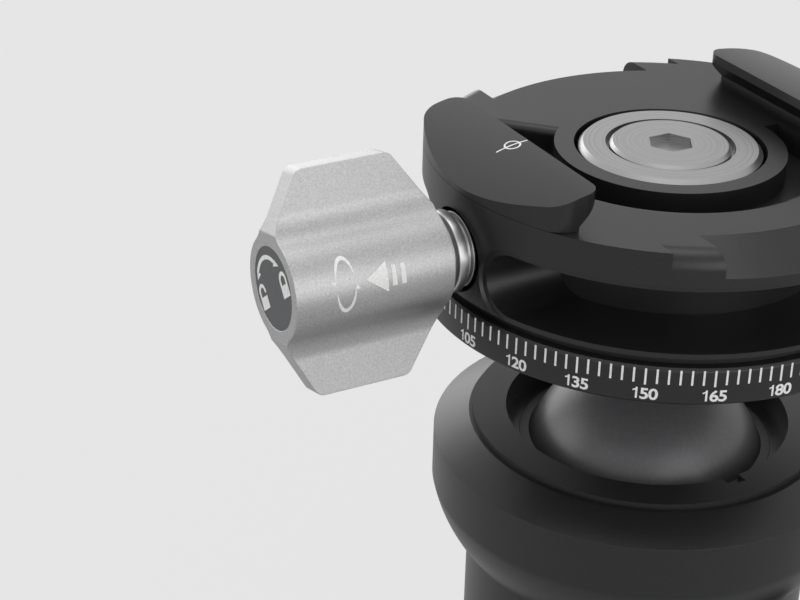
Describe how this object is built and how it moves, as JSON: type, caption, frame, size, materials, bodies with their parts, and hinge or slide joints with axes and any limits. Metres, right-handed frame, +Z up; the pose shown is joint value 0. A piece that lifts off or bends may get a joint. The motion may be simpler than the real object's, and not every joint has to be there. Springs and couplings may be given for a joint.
{
  "type": "tripod ball head",
  "caption": "Tripod ball head: a clamped ball carries a panning scale ring and a screw-operated dovetail quick-release clamp with a re-indexing wing knob.",
  "frame": {"origin": "centre of the base's underside, on the axis of the tripod thread", "axes": "+Z up through base, ball and clamp at rest; -X towards the clamp's wing knob; Y along the dovetail channel"},
  "size_m": [0.1025, 0.06, 0.0875],
  "materials": {
    "black_anodised": "fine bead-blasted, black anodised",
    "ball_anodised": "polished and dark grey anodised",
    "bright_aluminium": "turned, clear anodised",
    "grey_knob": "fine bead-blasted, light grey anodised",
    "steel": "turned",
    "spring_steel": "drawn wire",
    "black_steel": "black oxide",
    "brass": "turned",
    "bearing_plastic": "moulded acetal, smooth",
    "seat_plastic": "turned acetal, smooth",
    "inlay": "matt disc with printed signs",
    "white_print": "white paint of the scale and the signs, visual model only"
  },
  "bodies": {
    "base": {"base_plate": "black_anodised", "thread_bush": "steel", "base_bearing": "bearing_plastic", "base_retainer": "steel", "base_screws": "black_steel"},
    "housing": {"housing": "black_anodised", "collar": "black_anodised", "ball_cup": "seat_plastic", "cup_spring": "spring_steel"},
    "seat": {"ball_seat": "seat_plastic"},
    "ball": {"ball": "ball_anodised", "scale_ring": "black_anodised", "pan_washer": "bearing_plastic", "hub_disc": "bright_aluminium", "hub_washer": "bearing_plastic", "hub_screw": "bright_aluminium"},
    "clamp": {"clamp_body": "black_anodised", "spindle_nut": "brass", "guide_pins": "steel", "jaw_springs": "spring_steel"},
    "jaw": {"jaw": "black_anodised", "thrust_collar": "steel"},
    "spindle": {"clamp_spindle": "steel", "knob_screw": "black_steel", "knob_spring": "spring_steel"},
    "knob": {"clamp_knob": "grey_knob", "clamp_knob_inlay": "inlay"},
    "wedge": {"lock_wedge": "steel"},
    "lock_knob": {"lock_shaft": "steel", "lock_knob": "grey_knob", "lock_knob_inlay": "inlay"},
    "pan_pad": {"pan_pad": "brass"},
    "pan_knob": {"pan_knob": "black_anodised"},
    "base_pan_pad": {"base_pan_pad": "brass"},
    "base_pan_knob": {"base_pan_knob": "black_anodised"}
  },
  "joints": [
    {"name": "base_pan", "type": "hinge", "parent": "base", "child": "housing", "pos_m": [0, 0, 0], "axis": [0, 0, 1], "continuous": true},
    {"name": "ball_turn", "type": "hinge", "parent": "housing", "child": "seat", "pos_m": [0, 0, 0.03575], "axis": [0, 0, 1], "continuous": true},
    {"name": "ball_tilt", "type": "hinge", "parent": "seat", "child": "ball", "pos_m": [0, 0, 0.03575], "axis": [0, 1, 0], "range_deg": [-35, 35]},
    {"name": "clamp_pan", "type": "hinge", "parent": "ball", "child": "clamp", "pos_m": [0, 0, 0.06775], "axis": [0, 0, 1], "continuous": true},
    {"name": "jaw_slide", "type": "slide", "parent": "clamp", "child": "jaw", "axis": [1, 0, 0], "range_m": [0, 0.003], "deforming": ["jaw_springs"]},
    {"name": "spindle_turn", "type": "hinge", "parent": "jaw", "child": "spindle", "pos_m": [-0.03, 0, 0.07435], "axis": [1, 0, 0], "range_deg": [0, 1080]},
    {"name": "knob_pull", "type": "slide", "parent": "spindle", "child": "knob", "axis": [-1, 0, 0], "range_m": [0, 0.0032], "stiffness_N_per_m": 800, "springref_m": -0.0015, "deforming": ["knob_spring"]},
    {"name": "wedge_slide", "type": "slide", "parent": "housing", "child": "wedge", "axis": [1, 0, 0], "range_m": [0, 0.00105]},
    {"name": "lock_turn", "type": "hinge", "parent": "wedge", "child": "lock_knob", "pos_m": [0.03, 0, 0.02275], "axis": [1, 0, 0], "range_deg": [0, 300]},
    {"name": "pan_pad_slide", "type": "slide", "parent": "clamp", "child": "pan_pad", "axis": [1, 0, 0], "range_m": [0, 0.00061]},
    {"name": "pan_lock_turn", "type": "hinge", "parent": "pan_pad", "child": "pan_knob", "pos_m": [0.031, 0, 0.07435], "axis": [1, 0, 0], "range_deg": [0, 270]},
    {"name": "base_pan_pad_slide", "type": "slide", "parent": "housing", "child": "base_pan_pad", "axis": [0.5, -0.866, 0], "range_m": [0, 0.00061]},
    {"name": "base_pan_lock_turn", "type": "hinge", "parent": "base_pan_pad", "child": "base_pan_knob", "pos_m": [0.01225, -0.02122, 0.01205], "axis": [0.5, -0.866, 0], "range_deg": [0, 270]}
  ],
  "couplings": [
    {"joint": "jaw_slide", "follows": "spindle_turn", "m_per_rad": 0.00015915},
    {"joint": "wedge_slide", "follows": "lock_turn", "m_per_rad": 0.00019894},
    {"joint": "pan_pad_slide", "follows": "pan_lock_turn", "m_per_rad": 0.00012732},
    {"joint": "base_pan_pad_slide", "follows": "base_pan_lock_turn", "m_per_rad": 0.00012732}
  ]
}
